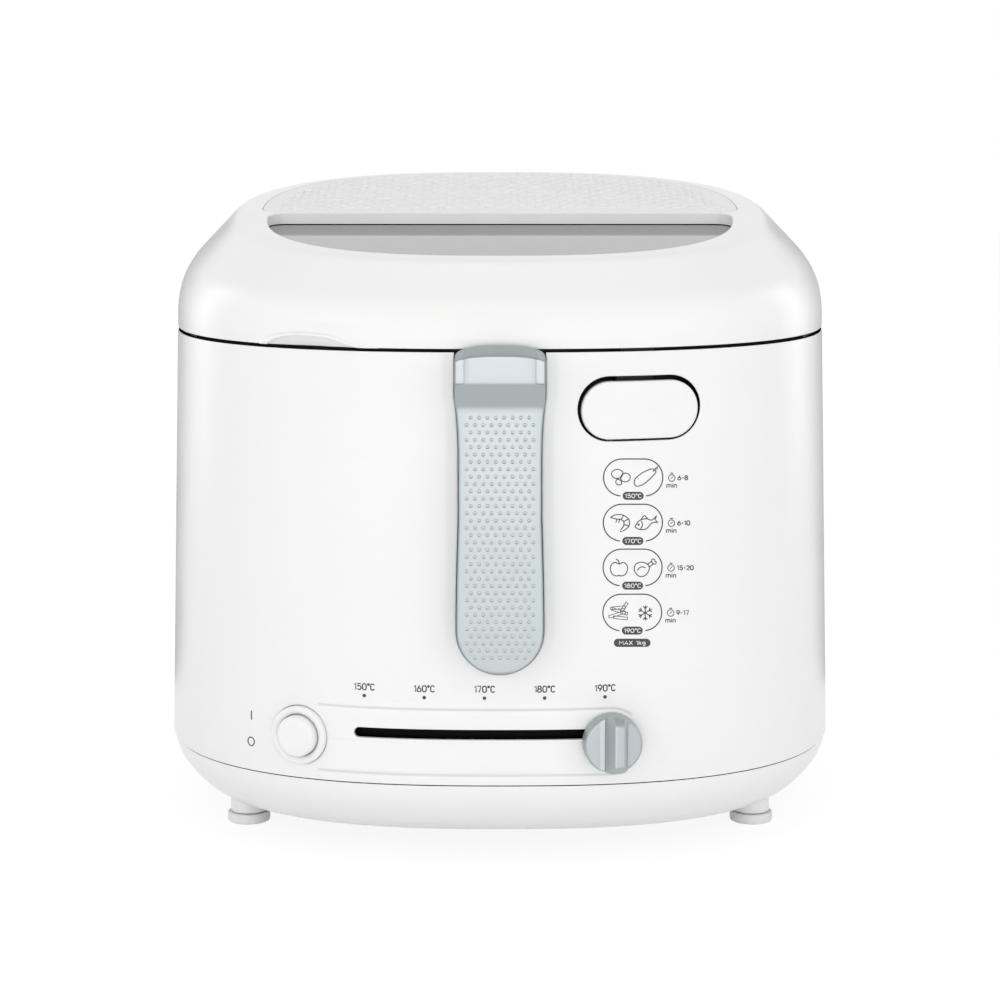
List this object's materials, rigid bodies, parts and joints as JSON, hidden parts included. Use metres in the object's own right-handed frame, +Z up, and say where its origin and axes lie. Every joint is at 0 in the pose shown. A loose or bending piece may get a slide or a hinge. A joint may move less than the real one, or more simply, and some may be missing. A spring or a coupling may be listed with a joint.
{
  "type": "deep fryer",
  "caption": "Electric deep fryer with a hinged window lid, lift-out basket on a fold-down front handle, temperature slide and push switch, standing on short feet",
  "frame": {"origin": "on the table, under the middle of the overall box", "axes": "+Z up, front with the handle and controls towards -Y, +X to the right of someone facing the front"},
  "size_m": [0.3006, 0.2741, 0.2835],
  "materials": {
    "white_plastic": "white moulded plastic, low gloss",
    "liner_plastic": "off-white heat-proof plastic",
    "grey_plastic": "pale blue-grey plastic, fine satin",
    "dark_plastic": "black plastic",
    "brown_plastic": "brown phenolic moulding",
    "coated_metal": "dark non-stick coating on pressed metal",
    "steel": "plated steel",
    "wire_steel": "bright tinned wire",
    "aluminium": "mill-finish sheet",
    "smoked_glass": "smoked clear pane",
    "filter_felt": "dark filter felt",
    "seal_rubber": "grey silicone",
    "foot_rubber": "off-white rubber"
  },
  "bodies": {
    "fryer_body": {"housing": "white_plastic", "base": "white_plastic", "foot_front_left": "foot_rubber", "foot_front_right": "foot_rubber", "foot_rear_left": "foot_rubber", "foot_rear_right": "foot_rubber", "base_screw_front_left": "steel", "base_screw_front_right": "steel", "base_screw_rear_left": "steel", "base_screw_rear_right": "steel", "cord_gland": "dark_plastic", "hinge_pin": "steel", "bowl": "coated_metal", "heating_element": "steel", "element_clamp": "steel", "heat_shield": "aluminium", "temperature_sensor": "steel", "thermal_fuse": "steel", "thermostat": "brown_plastic", "terminal_block": "dark_plastic", "power_switch": "dark_plastic", "power_button_collar": "white_plastic", "power_spring": "steel", "slide_rail": "dark_plastic", "latch_bracket": "steel"},
    "lid": {"lid_shell": "white_plastic", "lid_window": "smoked_glass", "filter_cover": "white_plastic", "filter_pad": "filter_felt", "lid_liner": "liner_plastic", "lid_seal": "seal_rubber", "lid_catch": "steel", "lid_screw_1": "steel", "lid_screw_2": "steel", "lid_screw_3": "steel", "lid_screw_4": "steel"},
    "lid_release": {"lid_button": "white_plastic", "latch_hook": "dark_plastic", "latch_spring": "steel"},
    "basket_unit": {"basket": "wire_steel", "basket_bracket": "grey_plastic", "handle_pin": "steel"},
    "grip": {"handle": "grey_plastic"},
    "temperature_slider": {"temperature_knob": "grey_plastic", "slide_carriage": "dark_plastic"},
    "power_key": {"power_button": "white_plastic"}
  },
  "joints": [
    {"name": "lid_hinge", "type": "hinge", "parent": "fryer_body", "child": "lid", "pos_m": [0, 0.131, 0.226], "axis": [-1, 0, 0], "range_deg": [0, 85]},
    {"name": "basket_lift", "type": "slide", "parent": "fryer_body", "child": "basket_unit", "axis": [0, 0, 1], "range_m": [0, 0.165]},
    {"name": "handle_fold", "type": "hinge", "parent": "basket_unit", "child": "grip", "pos_m": [0, -0.13, 0.2138], "axis": [-1, 0, 0], "range_deg": [0, 90]},
    {"name": "temperature_slide", "type": "hinge", "parent": "fryer_body", "child": "temperature_slider", "pos_m": [0, 0.22367, 0.0582], "axis": [0, 0, -1], "range_deg": [0, 16.9]},
    {"name": "lid_button_press", "type": "slide", "parent": "fryer_body", "child": "lid_release", "axis": [-0.2198, 0.9755, 0], "range_m": [0, 0.0025], "stiffness_N_per_m": 800, "springref_m": -0.002},
    {"name": "power_button_press", "type": "slide", "parent": "fryer_body", "child": "power_key", "axis": [0.3934, 0.9193, 0], "range_m": [0, 0.003], "stiffness_N_per_m": 600, "springref_m": -0.002}
  ],
  "couplings": [
    {"joint": "basket_lift", "follows": "lid_hinge", "m_per_rad": 0.11}
  ]
}
